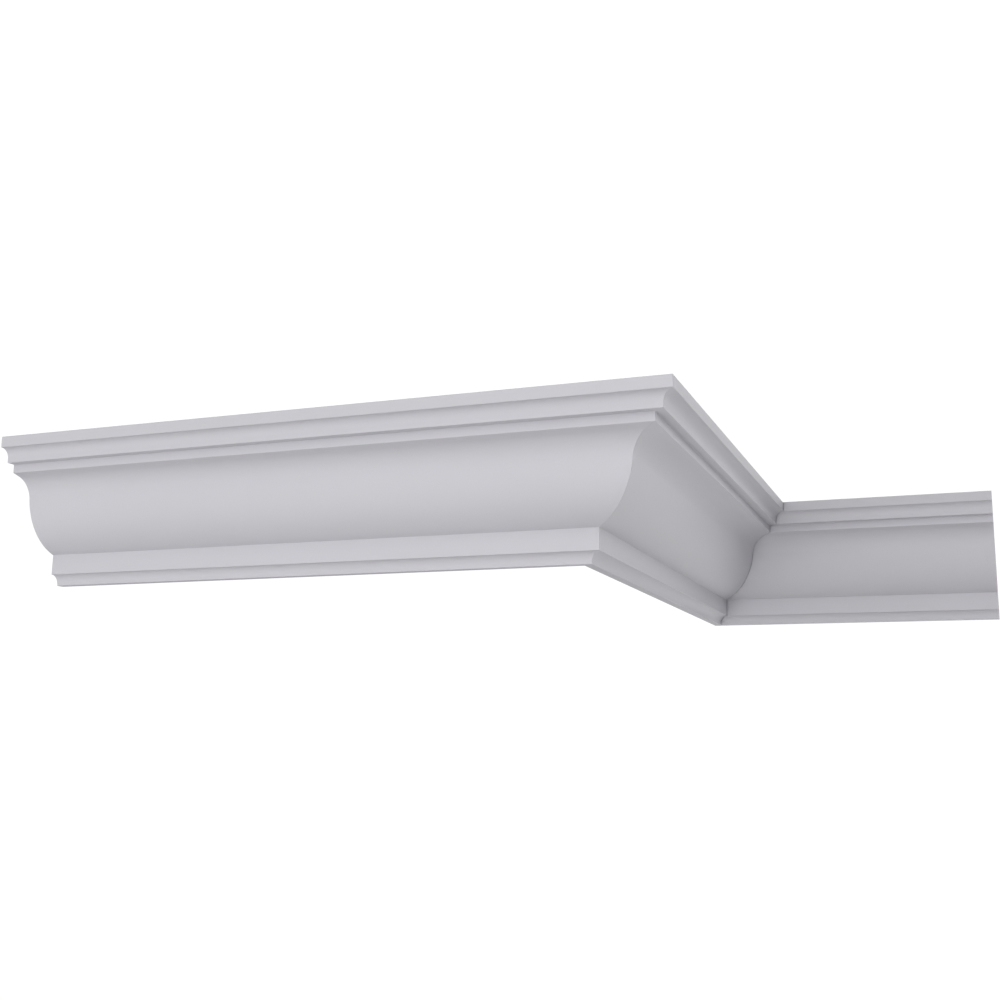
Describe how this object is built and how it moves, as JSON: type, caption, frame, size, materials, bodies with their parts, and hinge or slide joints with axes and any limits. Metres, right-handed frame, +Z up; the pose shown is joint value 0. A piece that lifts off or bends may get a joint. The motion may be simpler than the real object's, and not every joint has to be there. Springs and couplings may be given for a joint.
{
  "type": "cornice moulding",
  "caption": "Ceiling cornice moulding with a large ogee between stepped fillets and coves, mitred round an outside corner and an inside corner, its open ends cut square.",
  "frame": {"origin": "centre of the front length's wall flat, the upright face at its lower back that is glued to the wall", "axes": "+X along the front length, towards the outside corner; +Y into the wall behind the front length; +Z up, towards the ceiling"},
  "size_m": [0.8, 0.5942, 0.12],
  "materials": {
    "primed_white": "matt factory primer, pale grey-white with a slight violet cast, on rigid foam"
  },
  "bodies": {
    "root": {"front_length": "primed_white", "return_length": "primed_white", "far_length": "primed_white"}
  },
  "joints": []
}
